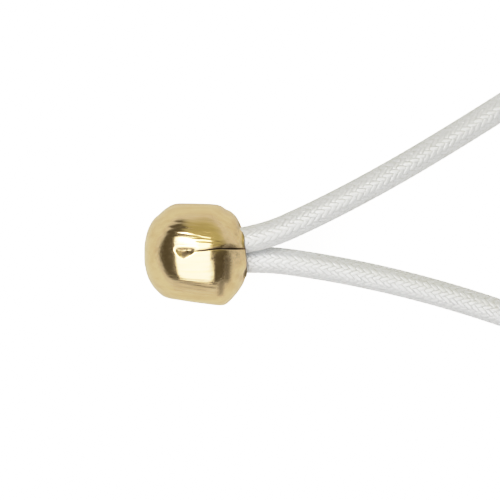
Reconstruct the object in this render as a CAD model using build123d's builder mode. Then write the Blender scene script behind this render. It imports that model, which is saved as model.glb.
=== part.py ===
from build123d import *
import math
import os

# Elastic pull loop: a round braided elastic cord, bent into a teardrop loop, with
# both of its ends crimped side by side in a small split brass ball.
# +X runs from the closed dome of the ball to its open mouth, +Z is up. The ball
# rests on Z = 0 under the origin, and the far part of the loop lies on Z = 0 too.

# ---- driving dimensions, millimetres ----
BALL_AXIS_Z = 4.0        # height of the ball's turning axis
BALL_DOME_X = -3.95      # flattened end of the closed dome
BALL_PROFILE = [         # turned profile of the ball, (x, radius)
    (-3.95, 0.80), (-3.66, 1.88), (-3.15, 2.71), (-2.45, 3.36), (-1.40, 3.88),
    (-0.30, 3.99), (0.50, 4.00), (1.35, 3.98), (2.00, 3.89), (2.55, 3.60),
    (3.08, 3.02), (3.50, 2.40), (3.80, 1.90), (4.15, 1.30),
]
AIM = 5.0                # the bore, slit and mouth are turned this much from +X about Z, degrees
MOUTH = (3.84, 0.29)     # middle of the mouth face in X and Y
# Each cut is an upright plane, given by two points in X and Y.
FLAT_TOP = ((-1.77, 3.934), (1.69, 3.818))       # +Y jaw flat
FLAT_LOW = ((-1.77, -3.468), (1.69, -3.955))     # -Y jaw flat
CORNER_TOP = ((1.69, 3.785), (2.75, 3.185))      # shoulder beside the +Y flat
CORNER_LOW = ((2.62, -3.515), (3.45, -2.415))    # shoulder beside the -Y flat
LIP_TOP = ((3.30, 2.36), (3.60, 1.70))           # the rim, bent in on the +Y side
LIP_LOW = ((3.50, -2.33), (3.76, -1.36))         # and on the -Y side
SLIT_W = 0.16            # the closed seam that is still open as a hairline
SLIT_LEN = 3.9           # from the mouth to about mid length
BORE_DEEP = 5.79         # blind depth of the bore behind the mouth
BORE_PLAY = 0.04         # between the cord and the bore
FLARE_DEEP = 2.7         # the bore widens towards the mouth over this depth
FLARE = 0.16             # by this much on each side
LIP_WALL = 0.10          # brass left round the bore at the rim, pressed round the two cords
LIP_DEEP = 1.3           # how far back from the mouth that lip reaches

CORD_D = 2.0             # outside of the braided sheath
SHEATH_ID = 1.24         # bore of the sheath
THREAD_D = 0.38          # one rubber thread
THREAD_PITCH = 0.40      # centre to centre of neighbouring threads
STACK_Y, STACK_Z = 0.53, 0.88    # each cord end lies this far from the bore's axis

# Route of the cord's middle line, from one end inside the ball, out of the mouth,
# round the loop and back in. Upper end first.
ROUTE = [
    (-1.53, 0.35, 4.88), (4.26, 0.85, 4.88), (9.34, 3.10, 4.60), (14.97, 6.08, 3.87),
    (20.86, 9.61, 2.77), (28.98, 14.78, 1.42), (34.56, 17.45, 1.00), (41.21, 17.97, 1.00),
    (47.57, 14.91, 1.00), (51.53, 9.04, 1.00), (51.96, 1.97, 1.00), (48.76, -4.35, 1.00),
    (42.87, -8.13, 1.00), (36.22, -8.51, 1.00), (30.77, -7.05, 1.10), (22.17, -4.02, 1.81),
    (16.02, -2.27, 2.43), (9.92, -0.99, 2.93), (4.20, -0.22, 3.12), (-1.43, -0.71, 3.12),
]

os.makedirs("parts", exist_ok=True)

# ---- the arcs of the route, each as large as its two runs allow ----
points = [Vector(*p) for p in ROUTE]
runs = [(b - a).length for a, b in zip(points[:-1], points[1:])]
turns = [
    (b - a).get_angle(c - b) for a, b, c in zip(points[:-2], points[1:-1], points[2:])
]
radii = [
    0.45 * min(r1, r2) / math.tan(math.radians(t) / 2)
    for r1, r2, t in zip(runs[:-1], runs[1:], turns)
]
print("runs", [round(r, 1) for r in runs])
print("turns", [round(t, 1) for t in turns])
print("radii", [round(r, 1) for r in radii])

with BuildLine() as route:
    FilletPolyline(*points, radius=radii)
path = route.wire()
print("cord length", round(path.length, 2))
start = Plane(origin=path @ 0, x_dir=(0, 0, 1), z_dir=path % 0)

# ---- crimp ball ----
aim = (math.cos(math.radians(AIM)), math.sin(math.radians(AIM)), 0)
side = (-aim[1], aim[0], 0)


def cut_plane(a, b, outward_y):
    """The upright plane through two points in X and Y, facing away from the ball."""
    along = Vector(b[0] - a[0], b[1] - a[1], 0).normalized()
    out = Vector(-along.Y, along.X, 0)
    if out.Y * outward_y < 0:
        out = out * -1
    return Plane(origin=(a[0], a[1], BALL_AXIS_Z), x_dir=tuple(along), z_dir=tuple(out))


with BuildPart() as crimp_ball:
    with BuildSketch(Plane.XY.offset(BALL_AXIS_Z)):
        with BuildLine():
            Line((BALL_DOME_X, 0), BALL_PROFILE[0])
            Spline(*BALL_PROFILE)
            Polyline(BALL_PROFILE[-1], (BALL_PROFILE[-1][0], 0), (BALL_DOME_X, 0))
        make_face()
    revolve(axis=Axis((0, 0, BALL_AXIS_Z), (1, 0, 0)))
    # the mouth face, square to the bore
    split(
        bisect_by=Plane(origin=(*MOUTH, BALL_AXIS_Z), x_dir=(0, 0, 1), z_dir=aim),
        keep=Keep.BOTTOM,
    )
    # the lip, drawn round the two cord ends
    lip = Plane(origin=(*MOUTH, BALL_AXIS_Z), x_dir=side, z_dir=tuple(-a for a in aim))
    with BuildSketch(lip):
        with Locations((STACK_Y, -STACK_Z), (-STACK_Y, STACK_Z)):
            Circle(CORD_D / 2 + BORE_PLAY + FLARE + LIP_WALL)
        make_hull()
    extrude(amount=LIP_DEEP)
    # what the crimping jaws pressed flat
    for cut in (FLAT_TOP, CORNER_TOP, LIP_TOP):
        split(bisect_by=cut_plane(*cut, 1), keep=Keep.BOTTOM)
    for cut in (FLAT_LOW, CORNER_LOW, LIP_LOW):
        split(bisect_by=cut_plane(*cut, -1), keep=Keep.BOTTOM)
    # blind bore for the two stacked cord ends, wider towards the mouth
    mouth = Plane(origin=(*MOUTH, BALL_AXIS_Z), x_dir=side, z_dir=tuple(-a for a in aim))
    a = (STACK_Y, -STACK_Z)
    b = (-STACK_Y, STACK_Z)
    with BuildSketch(mouth):
        with Locations(a, b):
            Circle(CORD_D / 2 + BORE_PLAY)
        make_hull()
    extrude(amount=BORE_DEEP, mode=Mode.SUBTRACT)
    with BuildSketch(mouth):
        with Locations(a, b):
            Circle(CORD_D / 2 + BORE_PLAY + FLARE)
        make_hull()
    with BuildSketch(mouth.offset(FLARE_DEEP)):
        with Locations(a, b):
            Circle(CORD_D / 2 + BORE_PLAY)
        make_hull()
    loft(mode=Mode.SUBTRACT)
    # the hairline seam, from the top of the ball into the bore
    with BuildSketch(Plane(origin=(*MOUTH, BALL_AXIS_Z), x_dir=aim, z_dir=(0, 0, 1))):
        with Locations((-SLIT_LEN / 2 + 0.5, 0.24)):
            Rectangle(SLIT_LEN + 1.0, SLIT_W)
    extrude(amount=6, mode=Mode.SUBTRACT)
crimp_ball.part.label = "crimp_ball"
export_step(crimp_ball.part, "parts/crimp_ball.step")

# ---- braided sheath ----
with BuildPart() as sheath:
    with BuildSketch(start):
        Circle(CORD_D / 2)
        Circle(SHEATH_ID / 2, mode=Mode.SUBTRACT)
    sweep(path=path)
sheath.part.label = "braided_sheath"
export_step(sheath.part, "parts/braided_sheath.step")
section = math.pi * (CORD_D**2 - SHEATH_ID**2) / 4
print("sheath volume", sheath.part.volume, "section x length", section * path.length)

# ---- rubber threads: one in the middle and six round it ----
with BuildPart() as thread_centre:
    with BuildSketch(start):
        Circle(THREAD_D / 2)
    sweep(path=path)
thread_centre.part.label = "rubber_thread_centre"
export_step(thread_centre.part, "parts/rubber_thread_centre.step")

for n in range(6):
    turn = math.radians(60 * n)
    with BuildPart() as thread:
        with BuildSketch(start):
            with Locations((THREAD_PITCH * math.cos(turn), THREAD_PITCH * math.sin(turn))):
                Circle(THREAD_D / 2)
        sweep(path=path)
    thread.part.label = f"rubber_thread_{n + 1}"
    export_step(thread.part, f"parts/rubber_thread_{n + 1}.step")
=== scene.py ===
import math

import bpy
import numpy as np
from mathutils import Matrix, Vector


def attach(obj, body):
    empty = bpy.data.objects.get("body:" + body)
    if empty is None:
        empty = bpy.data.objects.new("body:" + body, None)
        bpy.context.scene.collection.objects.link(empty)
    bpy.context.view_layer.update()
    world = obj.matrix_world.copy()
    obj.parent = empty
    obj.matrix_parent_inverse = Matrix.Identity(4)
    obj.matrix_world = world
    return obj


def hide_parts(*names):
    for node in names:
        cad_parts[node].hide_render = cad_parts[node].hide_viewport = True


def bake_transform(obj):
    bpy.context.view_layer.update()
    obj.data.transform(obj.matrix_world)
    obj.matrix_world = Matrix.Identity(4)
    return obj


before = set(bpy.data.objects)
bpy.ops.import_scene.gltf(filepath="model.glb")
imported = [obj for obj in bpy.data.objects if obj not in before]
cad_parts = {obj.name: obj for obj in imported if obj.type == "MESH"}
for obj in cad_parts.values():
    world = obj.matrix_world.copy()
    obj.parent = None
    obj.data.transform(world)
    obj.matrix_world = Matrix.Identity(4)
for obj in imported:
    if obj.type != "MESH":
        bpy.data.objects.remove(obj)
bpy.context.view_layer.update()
MM = 0.001

# ---------------------------------------------------------------- helpers


def new_mesh(name, verts, faces, smooth=True):
    """A mesh object from arrays: verts in metres, faces as an (n, k) array or a list of such arrays."""
    if not isinstance(faces, list):
        faces = [faces]
    mesh = bpy.data.meshes.new(name)
    loops = np.concatenate([f.reshape(-1) for f in faces]).astype(np.int32)
    counts = np.concatenate([np.full(len(f), f.shape[1]) for f in faces]).astype(np.int32)
    starts = np.concatenate([[0], np.cumsum(counts)[:-1]]).astype(np.int32)
    mesh.vertices.add(len(verts))
    mesh.vertices.foreach_set("co", np.asarray(verts, np.float32).reshape(-1))
    mesh.loops.add(len(loops))
    mesh.loops.foreach_set("vertex_index", loops)
    mesh.polygons.add(len(counts))
    mesh.polygons.foreach_set("loop_start", starts)
    mesh.polygons.foreach_set("loop_total", counts)
    mesh.update(calc_edges=True)
    mesh.validate()
    mesh.polygons.foreach_set("use_smooth", np.full(len(mesh.polygons), smooth))
    mesh.update()
    obj = bpy.data.objects.new(name, mesh)
    bpy.context.scene.collection.objects.link(obj)
    return obj


def smooth01(t):
    t = np.clip(t, 0.0, 1.0)
    return t * t * (3 - 2 * t)


def cubic(xs, ys, at):
    """Natural cubic spline through (xs, ys), read at the given places."""
    xs, ys = np.asarray(xs, float), np.asarray(ys, float)
    n = len(xs)
    h = np.diff(xs)
    a = np.zeros((n, n))
    b = np.zeros(n)
    a[0, 0] = a[-1, -1] = 1
    for i in range(1, n - 1):
        a[i, i - 1], a[i, i], a[i, i + 1] = h[i - 1], 2 * (h[i - 1] + h[i]), h[i]
        b[i] = 6 * ((ys[i + 1] - ys[i]) / h[i] - (ys[i] - ys[i - 1]) / h[i - 1])
    m = np.linalg.solve(a, b)
    i = np.clip(np.searchsorted(xs, at) - 1, 0, n - 2)
    t0, t1 = at - xs[i], xs[i + 1] - at
    return (
        m[i] * t1**3 / (6 * h[i])
        + m[i + 1] * t0**3 / (6 * h[i])
        + (ys[i] / h[i] - m[i] * h[i] / 6) * t1
        + (ys[i + 1] / h[i] - m[i + 1] * h[i] / 6) * t0
    )


class Nodes:
    """A short way to write a node tree."""

    def __init__(self, tree):
        self.tree = tree
        self.tree.nodes.clear()

    def add(self, kind, **settings):
        node = self.tree.nodes.new(kind)
        inputs = settings.pop("inputs", {})
        for key, value in settings.items():
            setattr(node, key, value)
        for key, value in inputs.items():
            if isinstance(value, bpy.types.NodeSocket):
                self.tree.links.new(value, node.inputs[key])
            else:
                node.inputs[key].default_value = value
        return node

    def link(self, a, b):
        self.tree.links.new(a, b)

    def math(self, operation, a, b=0.0, c=None):
        inputs = {0: a, 1: b}
        if c is not None:
            inputs[2] = c
        return self.add("ShaderNodeMath", operation=operation, inputs=inputs).outputs[0]


# ---------------------------------------------------------------- the cord's route
# Middle line of the cord, from the upper end inside the ball, out of the mouth,
# round the loop and back in, in metres.
ROUTE = np.array(
    [
        (-1.53, 0.35, 4.88), (4.26, 0.85, 4.88), (9.34, 3.10, 4.60), (14.97, 6.08, 3.87),
        (20.86, 9.61, 2.77), (28.98, 14.78, 1.42), (34.56, 17.45, 1.00), (41.21, 17.97, 1.00),
        (47.57, 14.91, 1.00), (51.53, 9.04, 1.00), (51.96, 1.97, 1.00), (48.76, -4.35, 1.00),
        (42.87, -8.13, 1.00), (36.22, -8.51, 1.00), (30.77, -7.05, 1.10), (22.17, -4.02, 1.81),
        (16.02, -2.27, 2.43), (9.92, -0.99, 2.93), (4.20, -0.22, 3.12), (-1.43, -0.71, 3.12),
    ]
) * MM

curve = bpy.data.curves.new("route", "CURVE")
curve.dimensions = "3D"
spline = curve.splines.new("NURBS")
spline.points.add(len(ROUTE) - 1)
for point, place in zip(spline.points, ROUTE):
    point.co = (*place, 1.0)
spline.order_u = 3
spline.use_endpoint_u = True
spline.resolution_u = 160
bare = bpy.data.objects.new("route", curve)
line_mesh = bpy.data.meshes.new_from_object(bare)
LINE = np.array([v.co for v in line_mesh.vertices], float)
bpy.data.meshes.remove(line_mesh)
bpy.data.objects.remove(bare)
bpy.data.curves.remove(curve)
if np.linalg.norm(LINE[0] - ROUTE[0]) > np.linalg.norm(LINE[-1] - ROUTE[0]):
    LINE = LINE[::-1]

along = np.concatenate([[0], np.cumsum(np.linalg.norm(np.diff(LINE, axis=0), axis=1))])
CORD_LENGTH = float(along[-1])


def frames(step):
    """Evenly spaced places along the route: arc length, point, tangent and two normals that don't twist."""
    n = int(round(CORD_LENGTH / step)) + 1
    s = np.linspace(0, CORD_LENGTH, n)
    p = np.stack([np.interp(s, along, LINE[:, k]) for k in range(3)], 1)
    t = np.gradient(p, axis=0)
    t /= np.linalg.norm(t, axis=1)[:, None]
    a = np.zeros_like(t)
    first = np.array([0.0, 0.0, 1.0])
    first -= t[0] * (first @ t[0])
    a[0] = first / np.linalg.norm(first)
    for i in range(1, n):
        v = a[i - 1] - t[i] * (a[i - 1] @ t[i])
        a[i] = v / np.linalg.norm(v)
    b = np.cross(t, a)
    return s, p, t, a, b


# ---------------------------------------------------------------- camera
# Straight above, as for a catalogue picture of a small part lying on a light table.
camera_data = bpy.data.cameras.new("camera")
camera = bpy.data.objects.new("camera", camera_data)
bpy.context.scene.collection.objects.link(camera)
SCALE = 13.0 * 1000  # picture widths: 500 of these make the frame at the ball's middle height
DISTANCE = 0.210
camera.location = (54.0 / SCALE, 4.0 / SCALE, 0.004 + DISTANCE)
camera.rotation_euler = (0, 0, 0)
camera_data.sensor_width = 36.0
camera_data.sensor_fit = "HORIZONTAL"
camera_data.lens = 36.0 * DISTANCE / (500.0 / SCALE)
camera_data.clip_start = 0.005
camera_data.clip_end = 20
bpy.context.scene.camera = camera

# ---------------------------------------------------------------- materials


def brass_material():
    m = bpy.data.materials.new("polished_brass")
    m.use_nodes = True
    n = Nodes(m.node_tree)
    out = n.add("ShaderNodeOutputMaterial")
    bsdf = n.add("ShaderNodeBsdfPrincipled")
    n.link(bsdf.outputs[0], out.inputs[0])
    bsdf.inputs["Metallic"].default_value = 1.0
    place = n.add("ShaderNodeTexCoord").outputs["Object"]
    # lengthwise drawing marks: noise stretched along X
    fine = n.add("ShaderNodeMapping", inputs={0: place, "Scale": (260.0, 9000.0, 9000.0)}).outputs[0]
    marks = n.add("ShaderNodeTexNoise", inputs={"Vector": fine, "Scale": 1.0, "Detail": 4.0, "Roughness": 0.6}).outputs[0]
    coarse = n.add("ShaderNodeMapping", inputs={0: place, "Scale": (120.0, 2600.0, 2600.0)}).outputs[0]
    ridges = n.add("ShaderNodeTexNoise", inputs={"Vector": coarse, "Scale": 1.0, "Detail": 2.0, "Roughness": 0.5}).outputs[0]
    # soft clouding of the lacquer, and small pits
    cloud = n.add("ShaderNodeTexNoise", inputs={"Vector": place, "Scale": 420.0, "Detail": 3.0, "Roughness": 0.55}).outputs[0]
    pits = n.add("ShaderNodeTexVoronoi", feature="F1", inputs={"Vector": place, "Scale": 3600.0, "Randomness": 1.0}).outputs["Distance"]
    pit = n.add("ShaderNodeMapRange", inputs={0: pits, 1: 0.03, 2: 0.10, 3: 0.0, 4: 1.0}).outputs[0]
    tint = n.add("ShaderNodeValToRGB", inputs={0: n.math("ADD", n.math("MULTIPLY", cloud, 0.45), n.math("MULTIPLY", ridges, 0.55))})
    tint.color_ramp.elements[0].position = 0.30
    tint.color_ramp.elements[0].color = (0.82, 0.628, 0.335, 1)
    tint.color_ramp.elements[1].position = 0.56
    tint.color_ramp.elements[1].color = (0.965, 0.755, 0.435, 1)
    # painted shade: the per-point attribute read here mixes dark brown into the brass colour, for shade in the seam,
    # bore and dent and for dark reflections near the mouth; it also makes the surface rougher there
    painted_shade = n.add("ShaderNodeAttribute", attribute_name="painted_shade").outputs["Fac"]
    painted_shade_amount = n.math("MULTIPLY", painted_shade, n.add("ShaderNodeMapRange", inputs={0: marks, 1: 0.30, 2: 0.62, 3: 0.70, 4: 1.0}).outputs[0])
    painted_shade_brass = n.add("ShaderNodeMix", data_type="RGBA", inputs={0: painted_shade_amount, 6: tint.outputs[0], 7: (0.085, 0.045, 0.025, 1)})
    n.link(painted_shade_brass.outputs[2], bsdf.inputs["Base Color"])
    rough = n.add("ShaderNodeMapRange", inputs={0: marks, 1: 0.35, 2: 0.70, 3: 0.13, 4: 0.24}).outputs[0]
    rough = n.add("ShaderNodeMix", data_type="FLOAT", inputs={0: painted_shade_amount, 2: rough, 3: 0.55}).outputs[0]
    n.link(rough, bsdf.inputs["Roughness"])
    height = n.math("ADD", n.math("MULTIPLY", marks, 0.25), n.math("MULTIPLY", ridges, 1.0))
    height = n.math("ADD", height, n.math("MULTIPLY", pit, 0.12))
    bump = n.add("ShaderNodeBump", inputs={"Strength": 0.34, "Distance": 0.00004, "Height": height})
    n.link(bump.outputs[0], bsdf.inputs["Normal"])
    return m


def yarn_material():
    """White satin polyester: each yarn carries its own coordinates, across and along."""
    m = bpy.data.materials.new("satin_braid")
    m.use_nodes = True
    n = Nodes(m.node_tree)
    out = n.add("ShaderNodeOutputMaterial")
    bsdf = n.add("ShaderNodeBsdfPrincipled")
    n.link(bsdf.outputs[0], out.inputs[0])
    yarn = n.add("ShaderNodeAttribute", attribute_name="yarn").outputs["Vector"]
    # filaments run along the yarn, with a slight lay
    threads = n.add("ShaderNodeMapping", inputs={0: yarn, "Scale": (5.0, 2.2, 40.0)}).outputs[0]
    strand = n.add("ShaderNodeTexNoise", inputs={"Vector": threads, "Scale": 1.0, "Detail": 3.0, "Roughness": 0.6}).outputs[0]
    lumps = n.add("ShaderNodeTexNoise", inputs={"Vector": yarn, "Scale": 0.9, "Detail": 1.0}).outputs[0]
    tone = n.add("ShaderNodeValToRGB", inputs={0: n.math("ADD", n.math("MULTIPLY", strand, 0.7), n.math("MULTIPLY", lumps, 0.3))})
    tone.color_ramp.elements[0].position = 0.30
    tone.color_ramp.elements[0].color = (0.725, 0.75, 0.785, 1)
    tone.color_ramp.elements[1].position = 0.70
    tone.color_ramp.elements[1].color = (0.805, 0.83, 0.87, 1)
    n.link(tone.outputs[0], bsdf.inputs["Base Color"])
    rough = n.add("ShaderNodeMapRange", inputs={0: strand, 1: 0.3, 2: 0.7, 3: 0.20, 4: 0.30}).outputs[0]
    n.link(rough, bsdf.inputs["Roughness"])
    bsdf.inputs["Specular IOR Level"].default_value = 1.0
    bsdf.inputs["IOR"].default_value = 1.75
    bsdf.inputs["Sheen Weight"].default_value = 0.6
    bsdf.inputs["Sheen Roughness"].default_value = 0.4
    bsdf.inputs["Subsurface Weight"].default_value = 0.5
    bsdf.inputs["Subsurface Radius"].default_value = (1.0, 1.0, 1.0)
    bsdf.inputs["Subsurface Scale"].default_value = 0.00010
    bump = n.add("ShaderNodeBump", inputs={"Strength": 0.35, "Distance": 0.00002, "Height": strand})
    n.link(bump.outputs[0], bsdf.inputs["Normal"])
    return m


def latex_material():
    m = bpy.data.materials.new("latex")
    m.use_nodes = True
    n = Nodes(m.node_tree)
    out = n.add("ShaderNodeOutputMaterial")
    bsdf = n.add("ShaderNodeBsdfPrincipled")
    n.link(bsdf.outputs[0], out.inputs[0])
    place = n.add("ShaderNodeTexCoord").outputs["Object"]
    dust = n.add("ShaderNodeTexNoise", inputs={"Vector": place, "Scale": 2500.0, "Detail": 4.0}).outputs[0]
    tone = n.add("ShaderNodeValToRGB", inputs={0: dust})
    tone.color_ramp.elements[0].color = (0.66, 0.56, 0.38, 1)
    tone.color_ramp.elements[1].color = (0.80, 0.74, 0.60, 1)
    n.link(tone.outputs[0], bsdf.inputs["Base Color"])
    bsdf.inputs["Roughness"].default_value = 0.6
    bump = n.add("ShaderNodeBump", inputs={"Strength": 0.3, "Distance": 0.00001, "Height": dust})
    n.link(bump.outputs[0], bsdf.inputs["Normal"])
    return m


BRASS, YARN, LATEX = brass_material(), yarn_material(), latex_material()

# ---------------------------------------------------------------- braided sheath
CARRIERS = 16            # yarns in each of the two directions
LEAD = 9.5 * MM          # length of cord in which a yarn goes once round
YARN_R = 0.950 * MM      # middle radius of the braid
RISE = 0.020 * MM        # an upper yarn lies this much outside the middle, a lower one inside
HALF_W = 0.190 * MM      # half the width of a yarn
HALF_T = 0.056 * MM      # half its thickness
TURN0 = -0.084             # where the rows of floats lie round the cord
TWIST = -3.3              # slow twist of the whole cord, radians per metre
SIDES = 10


def braid():
    s, p, t, a, b = frames(0.075 * MM)
    n = len(s)
    alpha = math.atan(2 * math.pi * YARN_R / LEAD)
    ring = np.arange(SIDES) / SIDES * 2 * math.pi
    # a flat lens with full edges
    ce, se = np.cos(ring), np.sin(ring)
    e = np.sign(ce) * np.abs(ce) ** 0.90 * HALF_W
    h = np.sign(se) * np.abs(se) ** 0.62 * HALF_T
    verts, yarn_at, faces, caps = [], [], [], []
    rng = np.random.default_rng(7)
    q = 2 * CARRIERS * s / LEAD
    base = 0
    idx = np.arange(n - 1)[:, None] * SIDES
    k = np.arange(SIDES)[None, :]
    quads = np.stack([idx + k, idx + (k + 1) % SIDES, idx + SIDES + (k + 1) % SIDES, idx + SIDES + k], -1).reshape(-1, 4)
    for d in (1, -1):
        for i in range(CARRIERS):
            # yarns of a real braid wander a little in place, width and height
            knots = np.linspace(0, CORD_LENGTH, 90)
            wander = np.interp(s, knots, rng.normal(0, 0.012, 90))
            width = 1 + np.interp(s, knots, rng.normal(0, 0.05, 90))
            turn = 2 * math.pi * i / CARRIERS + d * 2 * math.pi * s / LEAD + TURN0 + TWIST * s + wander
            phase = q + 2 * i - 0.5 if d == 1 else 2 * i - q - 2.5
            wave = np.cos(2 * math.pi * phase / 4)
            wave = np.tanh(1.9 * wave) / math.tanh(1.9)
            lift = RISE * wave
            # over a float the yarn spreads, where it dives it is squeezed
            spread = width * (1 + 0.05 * wave)
            ee = e[None, :] * spread[:, None]
            hh = h[None, :] * (1 - 0.06 * wave)[:, None]
            shift = -ee * math.sin(alpha) * d
            angle = turn[:, None] + ee * math.cos(alpha) / YARN_R
            radius = YARN_R + lift[:, None] + hh
            v = (
                p[:, None, :]
                + t[:, None, :] * shift[..., None]
                + a[:, None, :] * (radius * np.cos(angle))[..., None]
                + b[:, None, :] * (radius * np.sin(angle))[..., None]
            )
            verts.append(v.reshape(-1, 3))
            own = np.empty((n, SIDES, 3))
            own[..., 0] = e[None, :] / HALF_W
            own[..., 1] = (s / MM)[:, None]
            own[..., 2] = i + (0 if d == 1 else CARRIERS)
            yarn_at.append(own.reshape(-1, 3))
            if d == 1:
                faces.append(quads + base)
                caps.append(np.array([np.arange(SIDES)[::-1] + base, np.arange(SIDES) + base + (n - 1) * SIDES]))
            else:
                faces.append(quads + base)
                caps.append(np.array([np.arange(SIDES)[::-1] + base, np.arange(SIDES) + base + (n - 1) * SIDES]))
            base += n * SIDES
    # the two heat-sealed ends: a low bead of melted yarn on each
    for at, sign in ((0, -1.0), (n - 1, 1.0)):
        rings = [(0.80, -0.10), (0.985, -0.02), (1.0, 0.06), (0.93, 0.16), (0.70, 0.25), (0.35, 0.29)]
        m = 40
        w = np.arange(m) / m * 2 * math.pi
        bead = []
        for r, u in rings:
            rr = r * MM * (1 + 0.02 * np.sin(3 * w + 1.0) + 0.012 * np.sin(7 * w))
            bead.append(p[at] + t[at] * (sign * u * MM) + a[at] * (rr * np.cos(w))[:, None] + b[at] * (rr * np.sin(w))[:, None])
        bead = np.concatenate(bead)
        verts.append(bead)
        own = np.zeros((len(bead), 3))
        own[:, 1] = s[at] / MM
        own[:, 2] = 99
        yarn_at.append(own)
        j = np.arange(m)
        for r in range(len(rings) - 1):
            f = np.stack([base + r * m + j, base + r * m + (j + 1) % m, base + (r + 1) * m + (j + 1) % m, base + (r + 1) * m + j], -1)
            faces.append(f if sign > 0 else f[:, ::-1])
        cap = np.array([base + (len(rings) - 1) * m + j])
        foot = np.array([base + j[::-1]])
        caps.append(cap if sign > 0 else cap[:, ::-1])
        caps.append(foot if sign > 0 else foot[:, ::-1])
        base += len(bead)
    obj = new_mesh("braided_cord", np.concatenate(verts), [np.concatenate(faces)] + caps)
    attribute = obj.data.attributes.new("yarn", "FLOAT_VECTOR", "POINT")
    attribute.data.foreach_set("vector", np.concatenate(yarn_at).astype(np.float32).reshape(-1))
    obj.data.materials.append(YARN)
    return obj


cord = braid()


# ---------------------------------------------------------------- rubber threads
def thread(name, offset, turn0):
    s, p, t, a, b = frames(0.4 * MM)
    n, m, r = len(s), 12, 0.19 * MM
    w = np.arange(m) / m * 2 * math.pi
    # talc-dusted latex is cut from sheet, so each thread is a rounded square
    rr = r * (1 + 0.05 * np.cos(4 * w))
    centre = p + a * (offset * math.cos(turn0)) + b * (offset * math.sin(turn0))
    verts = centre[:, None, :] + a[:, None, :] * (rr * np.cos(w))[None, :, None] + b[:, None, :] * (rr * np.sin(w))[None, :, None]
    i, j = np.arange(n - 1)[:, None] * m, np.arange(m)[None, :]
    quads = np.stack([i + j, i + (j + 1) % m, i + m + (j + 1) % m, i + m + j], -1).reshape(-1, 4)
    caps = np.array([np.arange(m)[::-1], np.arange(m) + (n - 1) * m])
    obj = new_mesh(name, verts.reshape(-1, 3), [quads, caps])
    obj.data.materials.append(LATEX)
    return obj


threads = [thread("latex_thread_centre", 0.0, 0.0)]
for k in range(6):
    threads.append(thread(f"latex_thread_{k + 1}", 0.40 * MM, math.radians(60 * k)))

# ---------------------------------------------------------------- crimp ball
AXIS_Z = 4.0
AIM = math.radians(5.0)
MOUTH = (3.84, 0.29)
# half sections of the ball in millimetres, (x, distance from the axis): over the top, and
# the outlines of its +Y and -Y sides before the jaws pressed them
CROWN = np.array(
    [(-3.95, 0.80), (-3.66, 1.90), (-3.15, 2.70), (-2.45, 3.34), (-1.40, 3.86),
     (0.00, 4.00), (1.20, 3.90), (1.95, 3.61), (2.60, 3.14), (3.10, 2.67), (3.60, 2.17), (3.72, 2.04)]
)
SIDE_TOP = np.array(
    [(-3.95, 0.86), (-3.66, 1.95), (-3.15, 2.74), (-2.45, 3.40), (-1.40, 3.96),
     (0.00, 4.05), (1.30, 3.98), (2.00, 3.68), (2.35, 3.46), (2.73, 3.27), (3.075, 2.92), (3.39, 2.43), (3.60, 1.90), (3.72, 1.58)]
)
SIDE_LOW = np.array(
    [(-3.95, 0.76), (-3.66, 1.84), (-3.15, 2.68), (-2.45, 3.32), (-1.40, 3.86),
     (0.00, 4.05), (1.30, 4.12), (2.00, 4.02), (2.55, 3.67), (3.10, 3.07), (3.60, 2.31), (3.72, 2.14)]
)


def soft_min(x, limit, k):
    """The smaller of the two, rounded over a width k where they meet."""
    h = np.clip(0.5 + 0.5 * (limit - x) / k, 0, 1)
    return limit * (1 - h) + x * h - k * h * (1 - h)


def bell(x, middle, half):
    return np.exp(-(((x - middle) / half) ** 2))


def seam_line(x):
    """Where the seam runs: its Y over the length of the ball."""
    return 0.23 + 0.18 * smooth01(x / 2.0)


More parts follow.
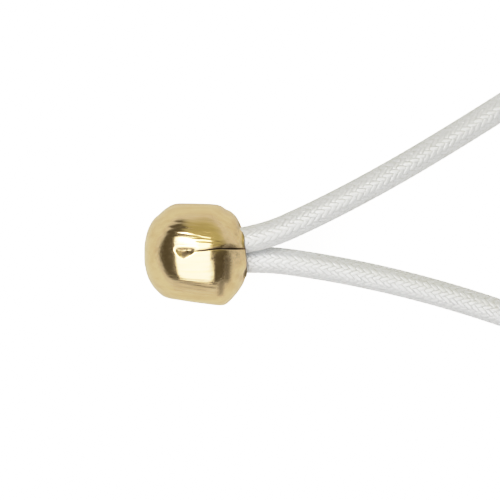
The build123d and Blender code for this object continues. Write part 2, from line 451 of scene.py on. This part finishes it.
def ball():
    # angles from the seam, fine beside it, less fine over the top and coarse underneath
    d = np.linspace(-math.pi, math.pi, 20001)
    step = 0.0035 + 0.0055 * smooth01(np.abs(d) / 0.10) + 0.017 * smooth01((np.abs(d) - 0.9) / 0.5)
    count = np.concatenate([[0], np.cumsum(1 / step[:-1] * (d[1] - d[0]))])
    m = int(round(count[-1]))
    delta = np.interp(np.arange(m) * count[-1] / m, count, d)
    # the outside, ring by ring from the middle of the dome
    chord = np.concatenate([[0], np.cumsum(np.linalg.norm(np.diff(CROWN, axis=0), axis=1))])
    v = np.linspace(0, chord[-1], 250)
    px = cubic(chord, CROWN[:, 0], v)
    shape = lambda table, x: cubic(table[:, 0], table[:, 1], x)
    crown = cubic(chord, CROWN[:, 1], v)
    sections = []       # kind, x, size over the top, size to +Y, size to -Y, share of the way to the lip
    for share in (0.003, 0.12, 0.30, 0.50, 0.70, 0.86):
        sections.append((0, -3.95 - 0.012 * (1 - share**2), share * 0.80, share * 0.86, share * 0.76, 0.0, 0.0))
    for k in range(len(v)):
        # near the dome the outlines stand too steep for a table in x, so they follow the crown
        t = smooth01((px[k] + 3.5) / 0.8)
        up = crown[k] * (1 - t) * 1.04 + t * float(shape(SIDE_TOP, np.array([px[k]]))[0])
        low = crown[k] * (1 - t) * 0.985 + t * float(shape(SIDE_LOW, np.array([px[k]]))[0])
        sections.append((0, px[k], crown[k], up, low, 0.0, 0.0))
    last = sections[-1]
    for x, share in ((3.75, 0.20), (3.778, 0.42), (3.80, 0.66), (3.812, 0.88), (3.816, 1.00)):
        sections.append((1, x, last[2], last[3], last[4], share, 0.0))
    for x, back in ((3.81, 0.05), (3.785, 0.11), (3.735, 0.165), (3.66, 0.195), (3.55, 0.20)):
        sections.append((1, x, last[2], last[3], last[4], 1.0, back))
    for x in np.concatenate([np.linspace(3.35, 2.6, 8), np.linspace(2.2, -1.85, 12)]):
        sections.append((2, x, 1, 1, 1, 1.0, 0.20))
    for x, share in ((-1.92, 0.92), (-1.95, 0.70), (-1.96, 0.30), (-1.96, 0.004)):
        sections.append((3, x, 1, 1, 1, share, 0.20))
    stack, c = math.atan2(0.88, -0.53), math.hypot(0.88, 0.53)
    stack = math.atan2(0.88, 0.53)

    def stadium(angle, r):
        g = np.abs((angle - stack + math.pi / 2) % math.pi - math.pi / 2)
        side = r / np.maximum(np.sin(g), 1e-6)
        end = c * np.cos(g) + np.sqrt(np.maximum(r * r - (c * np.sin(g)) ** 2, 0))
        return np.where(side * np.cos(g) <= c, side, end)

    rows = []
    for kind, x, top, up, low, share, back in sections:
        y_s = float(seam_line(np.array(x))) if kind == 0 else 0.41
        psi = math.acos(min(y_s / max(top, 0.6), 0.99)) + delta if kind == 0 else math.acos(0.41 / 2.3) + delta
        wide = np.where(np.cos(psi) > 0, up, low)
        round_body = 1 / np.sqrt((np.cos(psi) / wide) ** 2 + (np.sin(psi) / top) ** 2)
        # the last half millimetre is pressed round the two cords
        hug = float(smooth01((x - 2.9) / 0.6)) * (stadium(psi, 1.05) + 0.10)
        round_body = -soft_min(-round_body, -hug, 0.28)
        if kind == 0:
            r = round_body
        elif kind == 1:
            lip = stadium(psi, 1.045) + 0.07 - back * 0.35
            r = round_body + (lip - round_body) * share
        elif kind == 2:
            r = stadium(psi, 1.05)
        else:
            r = stadium(psi, 1.05) * share
        rows.append((kind, x, r, psi))
    kind = np.array([q[0] for q in rows])[:, None]
    X = np.array([q[1] for q in rows])[:, None] + np.zeros((1, m))
    R = np.array([q[2] for q in rows])
    psi = np.array([q[3] for q in rows])
    out = kind == 0
    Y, Z = R * np.cos(psi), R * np.sin(psi)
    # towards the mouth the middle moves over to the bore's middle
    middle = 0.29 + (X - MOUTH[0]) * math.tan(AIM)
    follow = np.where(kind >= 1, 1.0, 0.0)
    Y = Y + np.where(out, 0.285 * smooth01((X - 2.4) / 1.3), follow * middle)
    # the flats and shoulders that the jaws pressed, outside only
    for (ax, ay), (bx, by), sign, k in (
        ((-1.77, 3.934), (1.69, 3.818), 1, 0.20), ((-1.77, -3.468), (1.69, -3.955), -1, 0.24),
        ((2.62, -3.515), (3.45, -2.415), -1, 0.14), ((3.50, -2.33), (3.76, -1.36), -1, 0.10),
    ):
        nx, ny = -(by - ay), bx - ax
        n = math.hypot(nx, ny)
        nx, ny = nx / n * (1 if ny * sign > 0 else -1), ny / n * (1 if ny * sign > 0 else -1)
        distance = nx * X + ny * Y
        cut = soft_min(distance, nx * ax + ny * ay, k) - distance
        X = np.where(out, X + nx * cut, X)
        Y = np.where(out, Y + ny * cut, Y)
    rad = np.maximum(np.hypot(Y, Z), 1e-6)
    uy, uz = Y / rad, Z / rad
    on_top = Z > 0.6
    away = Y - seam_line(X)
    # the edges of the two halves roll in to the seam, the upper one over a wider strip near the mouth
    wide_up = 0.14 + 0.34 * bell(X, 2.55, 0.55) + 0.10 * smooth01((X - 3.0) / 0.5)
    drop_up = 0.030 + 0.085 * bell(X, 2.55, 0.60)
    wide_low = 0.13 + 0.07 * smooth01((X - 1.8) / 1.5)
    drop_low = 0.022 + 0.020 * smooth01((X - 1.8) / 1.5)
    starts = smooth01((X + 0.10) / 0.35)
    roll = np.where(
        away > 0, drop_up * np.clip(1 - away / wide_up, 0, 1) ** 2, drop_low * np.clip(1 + away / wide_low, 0, 1) ** 2
    ) * starts * np.where(kind >= 1, 0.0, smooth01((3.62 - X) / 0.35))
    # the seam itself, a hairline that reaches the bore near the mouth
    half = 0.014 + 0.020 * smooth01((X - 0.4) / 3.0)
    wall = 1 - smooth01((np.abs(away) - half) / 0.030)
    groove = wall * starts * (0.12 + 0.9 * smooth01((X - 0.4) / 2.4)) * np.where(kind >= 2, 0.0, 1.0)
    groove = np.minimum(groove, np.maximum(rad - 2.02, 0.03))
    # the dent where the seam ends: a small three-sided pit with a raised edge
    foot = -0.56 + np.where(X < -1.0, 1.25 * (-1.0 - X), 0.56 * (X + 1.0))
    rise = np.clip((Y - foot) / np.maximum(0.34 - foot, 0.05), 0, 1.0)
    fall = smooth01((0.62 - Y) / 0.36)
    foot = foot + 0.07 * np.sin(8.5 * X + 1.0) * np.cos(3.0 * X)
    depth = 0.27 * np.clip(0.34 - foot, 0.0, 0.9) / 0.90
    pit = depth * (0.35 * rise + 0.65 * smooth01(rise)) * fall * smooth01((X + 1.72) / 0.48) * smooth01((0.35 - X) / 0.7)
    pit += 0.007 * np.sin(7.0 * X - 5.0 * Y) * np.sin(9.0 * Y + 2.0 * X) * smooth01(rise * 2) * fall * bell(X, -0.85, 0.6)
    pit += 0.003 * np.sin(2 * math.pi * (X + 0.3 * Y) / 0.34) * smooth01(rise * 2) * fall * bell(X, -0.85, 0.5)
    # two shallow dimples above it, and a flattened strip to their right
    dimples = 0.050 * bell(X, -1.00, 0.62) * bell(Y, 0.95, 0.42) + 0.022 * bell(X, -0.35, 0.36) * bell(Y, 0.80, 0.30)
    # drawing ridges along X over the shoulder above the seam, fainter ones below
    slant = 0.085 * (X + 1.2) + 0.045 * (X + 1.2) ** 2
    yy = Y + slant - 0.10
    ridge = (
        0.0165 * (1 - 0.72 * smooth01((X + 0.7) / 0.9)) * np.sin(2 * math.pi * (yy - 1.98) / 0.46) * bell(yy, 1.80, 0.50)
        + 0.0028 * np.sin(2 * math.pi * (yy - 1.1) / 0.21 + 0.5 * np.sin(1.3 * X)) * bell(yy, 1.75, 0.75)
        + 0.0110 * np.sin(2 * math.pi * (Y + 0.06 * X - 0.80) / 0.27) * bell(Y, 0.95, 0.28) * smooth01((X + 0.1) / 0.5)
        + 0.0080 * np.sin(2 * math.pi * (Y + 0.12 * X + 2.5) / 0.30 + 0.7 * np.sin(1.1 * X)) * bell(Y, -2.75, 0.50)
        + 0.0010 * np.sin(2 * math.pi * (Y + 0.03 * X) / 0.21 + 0.6 * np.sin(1.9 * X + 0.4)) * bell(Y, -1.2, 1.3)
    ) * smooth01((2.3 - X) / 1.1) * smooth01((X + 2.5) / 1.0) * np.clip(uz, 0, 1)
    # a soft lengthwise crease to the right of the middle, below the seam
    crease = 0.010 * np.sin(2 * math.pi * (X - 1.35) / 0.85) * bell(X, 1.75, 0.45) * smooth01((0.25 - Y) / 0.4) * np.clip(uz, 0, 1)
    lump = 0.010 * np.sin(1.7 * X + 0.6) * np.sin(1.9 * Y + 1.2) + 0.006 * np.sin(3.1 * X - 1.0) * np.cos(2.7 * Z + 0.4)
    move = np.where(out, ridge + lump + crease - dimples * on_top - pit * on_top, 0.0) - np.where(kind <= 1, (roll + groove) * on_top, 0.0)
    Y = Y + uy * move
    Z = Z + uz * move
    # the rim leans square to the bore, bulges a little below the seam and is notched above it
    lean = np.where(out, smooth01((X - 1.9) / 1.7), 1.0)
    X = X - np.where(kind >= 2, smooth01((X + 2.0) / 5.0), lean * 0.85) * math.tan(AIM) * (Y - 0.29)
    rim = smooth01((X - 3.0) / 0.7) * (kind <= 1)
    X = X + rim * on_top * (
        0.055 * bell(Y, -0.45, 0.65) - 0.035 * bell(Y, 0.75, 0.30) - 0.11 * smooth01((Y - 1.15) / 0.7) - 0.15 * smooth01((-0.95 - Y) / 0.45) * smooth01((Y + 2.25) / 0.70)
    )
    verts = np.stack([X, Y, Z + AXIS_Z], -1).reshape(-1, 3) * MM
    nr = len(rows)
    i, j = np.arange(nr - 1)[:, None] * m, np.arange(m)[None, :]
    quads = np.stack([i + j, i + m + j, i + m + (j + 1) % m, i + (j + 1) % m], -1).reshape(-1, 4)
    caps = np.array([np.arange(m), (np.arange(m) + (nr - 1) * m)[::-1]])
    obj = new_mesh("brass_ball", verts, [quads[:, ::-1], caps[:, ::-1]])
    # dark brown painted into the brass, standing in for shade and dark reflections: painted shade in the seam, under
    # its upper edge, in the dent, in a band along the seam and inside the bore; painted dark reflections in two bands
    # below the seam towards the mouth and on the lip rows
    painted_shade = np.where(kind >= 2, 0.85, 0.0) + np.where(kind <= 1, 1.0, 0.0) * on_top * (
        1.0 * starts * (1 - smooth01((np.abs(away) - half * 1.2) / 0.05))
        + 0.78 * bell(X, 2.60, 0.50) * np.where(away > 0, smooth01((0.42 - away) / 0.34), smooth01((0.12 + away) / 0.1))
        + (0.44 + 0.22 * np.sin(6.0 * X + 7.0 * Y)) * smooth01(pit / 0.09)
        + 0.50 * bell(away, 0.07, 0.13) * smooth01((X + 0.05) / 0.35) * smooth01((2.3 - X) / 0.6)
        # painted dark reflections: two bands below the seam towards the mouth
        + 0.56 * bell(X, 1.97 + 0.10 * (Y + 2.4), 0.27) * smooth01((-1.7 - Y) / 0.5) * smooth01((Y + 3.45) / 0.5)
        + 0.74 * bell(X, 2.42, 0.25) * smooth01((0.1 - Y) / 0.5) * smooth01((Y + 2.5) / 0.8)
    # painted dark reflection on the lip rows
    ) + np.where(kind == 1, 0.70, 0.0)
    attribute = obj.data.attributes.new("painted_shade", "FLOAT", "POINT")
    attribute.data.foreach_set("value", np.clip(painted_shade, 0, 1).astype(np.float32).reshape(-1))
    obj.data.materials.append(BRASS)
    return obj


brass_ball = ball()

# ---------------------------------------------------------------- bodies, cord and stage
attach(brass_ball, "ball")
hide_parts("crimp_ball")

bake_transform(cord)
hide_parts("braided_sheath")
for piece, node in zip(threads, ["rubber_thread_centre"] + [f"rubber_thread_{k}" for k in range(1, 7)]):
    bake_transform(piece)
    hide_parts(node)


def stage_material(name, albedo, seen):
    """Pale surface: a diffuse sheet that the camera sees as an overexposed light table."""
    m = bpy.data.materials.new(name)
    m.use_nodes = True
    n = Nodes(m.node_tree)
    out = n.add("ShaderNodeOutputMaterial")
    diffuse = n.add("ShaderNodeBsdfDiffuse", inputs={0: (albedo, albedo, albedo, 1)})
    glow = n.add("ShaderNodeEmission", inputs={0: (1, 1, 1, 1), 1: seen})
    both = n.add("ShaderNodeAddShader", inputs={0: diffuse.outputs[0], 1: glow.outputs[0]})
    path = n.add("ShaderNodeLightPath").outputs["Is Camera Ray"]
    mix = n.add("ShaderNodeMixShader", inputs={0: path, 1: diffuse.outputs[0], 2: both.outputs[0]})
    n.link(mix.outputs[0], out.inputs[0])
    return m


turn = np.arange(96) / 96 * 2 * math.pi
floor = new_mesh("floor", np.stack([0.16 * np.cos(turn) + 0.015, 0.16 * np.sin(turn), 0 * turn], 1), np.arange(96)[None, :], smooth=False)
floor.data.materials.append(stage_material("floor", 0.62, 1.6))


def area(name, size_x, size_y, at, aim, radiance, colour=(1, 1, 1)):
    data = bpy.data.lights.new(name, "AREA")
    data.shape = "RECTANGLE"
    data.size, data.size_y = size_x, size_y
    data.color = colour
    # power that gives this radiance over the lamp's face
    data.energy = radiance * math.pi * size_x * size_y
    obj = bpy.data.objects.new(name, data)
    obj.location = at
    d = Vector(aim) - Vector(at)
    obj.rotation_euler = d.to_track_quat("-Z", "Y").to_euler()
    bpy.context.scene.collection.objects.link(obj)
    return obj


H = 0.32
x0, x1, y0, y1 = -0.69 * H, 0.48 * H, -1.58 * H, 0.60 * H
softbox = area("softbox", x1 - x0, y1 - y0, ((x0 + x1) / 2, (y0 + y1) / 2, H), ((x0 + x1) / 2, (y0 + y1) / 2, 0), 2.30, (1.0, 0.985, 0.965))
# the lamp's own hot middle
area("softbox_core", 0.34 * H, 0.34 * H, (-0.25 * H, 0.35 * H, H - 0.002), (-0.25 * H, 0.35 * H, 0), 4.5, (1.0, 0.985, 0.96))

# A dim studio round the lamp, with a pale olive wall on the +Y side.
world = bpy.data.worlds.new("world")
bpy.context.scene.world = world
world.use_nodes = True
wn = Nodes(world.node_tree)
w_out = wn.add("ShaderNodeOutputWorld")
toward = wn.add("ShaderNodeSeparateXYZ", inputs={0: wn.add("ShaderNodeTexCoord").outputs["Generated"]})
heading = wn.math("ARCTAN2", toward.outputs[1], toward.outputs[0])
edge_a = wn.add("ShaderNodeMapRange", interpolation_type="SMOOTHSTEP", inputs={0: heading, 1: 0.08, 2: 0.40, 3: 0.0, 4: 1.0}).outputs[0]
edge_b = wn.add("ShaderNodeMapRange", interpolation_type="SMOOTHSTEP", inputs={0: heading, 1: 1.60, 2: 1.90, 3: 1.0, 4: 0.0}).outputs[0]
wall = wn.math("MULTIPLY", edge_a, edge_b)
low = wn.add("ShaderNodeMapRange", interpolation_type="SMOOTHSTEP", inputs={0: toward.outputs[2], 1: 0.0, 2: 0.55, 3: 1.0, 4: 0.0}).outputs[0]
wall_colour = wn.add("ShaderNodeMix", data_type="RGBA", inputs={0: low, 6: (0.46, 0.43, 0.22, 1), 7: (0.60, 0.58, 0.50, 1)}).outputs[2]
studio = wn.add("ShaderNodeMix", data_type="RGBA", inputs={0: wall, 6: (0.084, 0.070, 0.046, 1), 7: wall_colour}).outputs[2]
sweep_top = wn.add("ShaderNodeMapRange", interpolation_type="SMOOTHSTEP", inputs={0: toward.outputs[1], 1: -0.97, 2: -0.55, 3: 0.42, 4: 0.15}).outputs[0]
height = wn.math("DIVIDE", toward.outputs[2], sweep_top)
sweep = wn.add("ShaderNodeMapRange", interpolation_type="SMOOTHSTEP", inputs={0: height, 1: 0.72, 2: 1.15, 3: 1.0, 4: 0.0}).outputs[0]
studio = wn.add("ShaderNodeMix", data_type="RGBA", inputs={0: sweep, 6: studio, 7: (0.66, 0.655, 0.65, 1)}).outputs[2]
seen = wn.add("ShaderNodeLightPath").outputs["Is Camera Ray"]
w_dim = wn.add("ShaderNodeBackground", inputs={0: studio, 1: 1.0})
w_pale = wn.add("ShaderNodeBackground", inputs={0: (1, 1, 1, 1), 1: 2.4})
w_mix = wn.add("ShaderNodeMixShader", inputs={0: seen, 1: w_dim.outputs[0], 2: w_pale.outputs[0]})
wn.link(w_mix.outputs[0], w_out.inputs[0])

bpy.context.scene.view_settings.view_transform = "Standard"
bpy.context.scene.view_settings.look = "None"
bpy.context.scene.view_settings.use_curve_mapping = True
tone = bpy.context.scene.view_settings.curve_mapping
tone.clip_max_x = 4.0
shoulder = tone.curves[3]
shoulder.points[1].location = (4.0, 1.0)
tone.update()
for x, y in ((0.60, 0.60), (0.85, 0.75), (1.10, 0.84), (1.35, 0.905), (1.70, 0.965), (2.10, 1.0)):
    shoulder.points.new(x, y)
for point in shoulder.points:
    point.handle_type = "VECTOR"
tone.update()
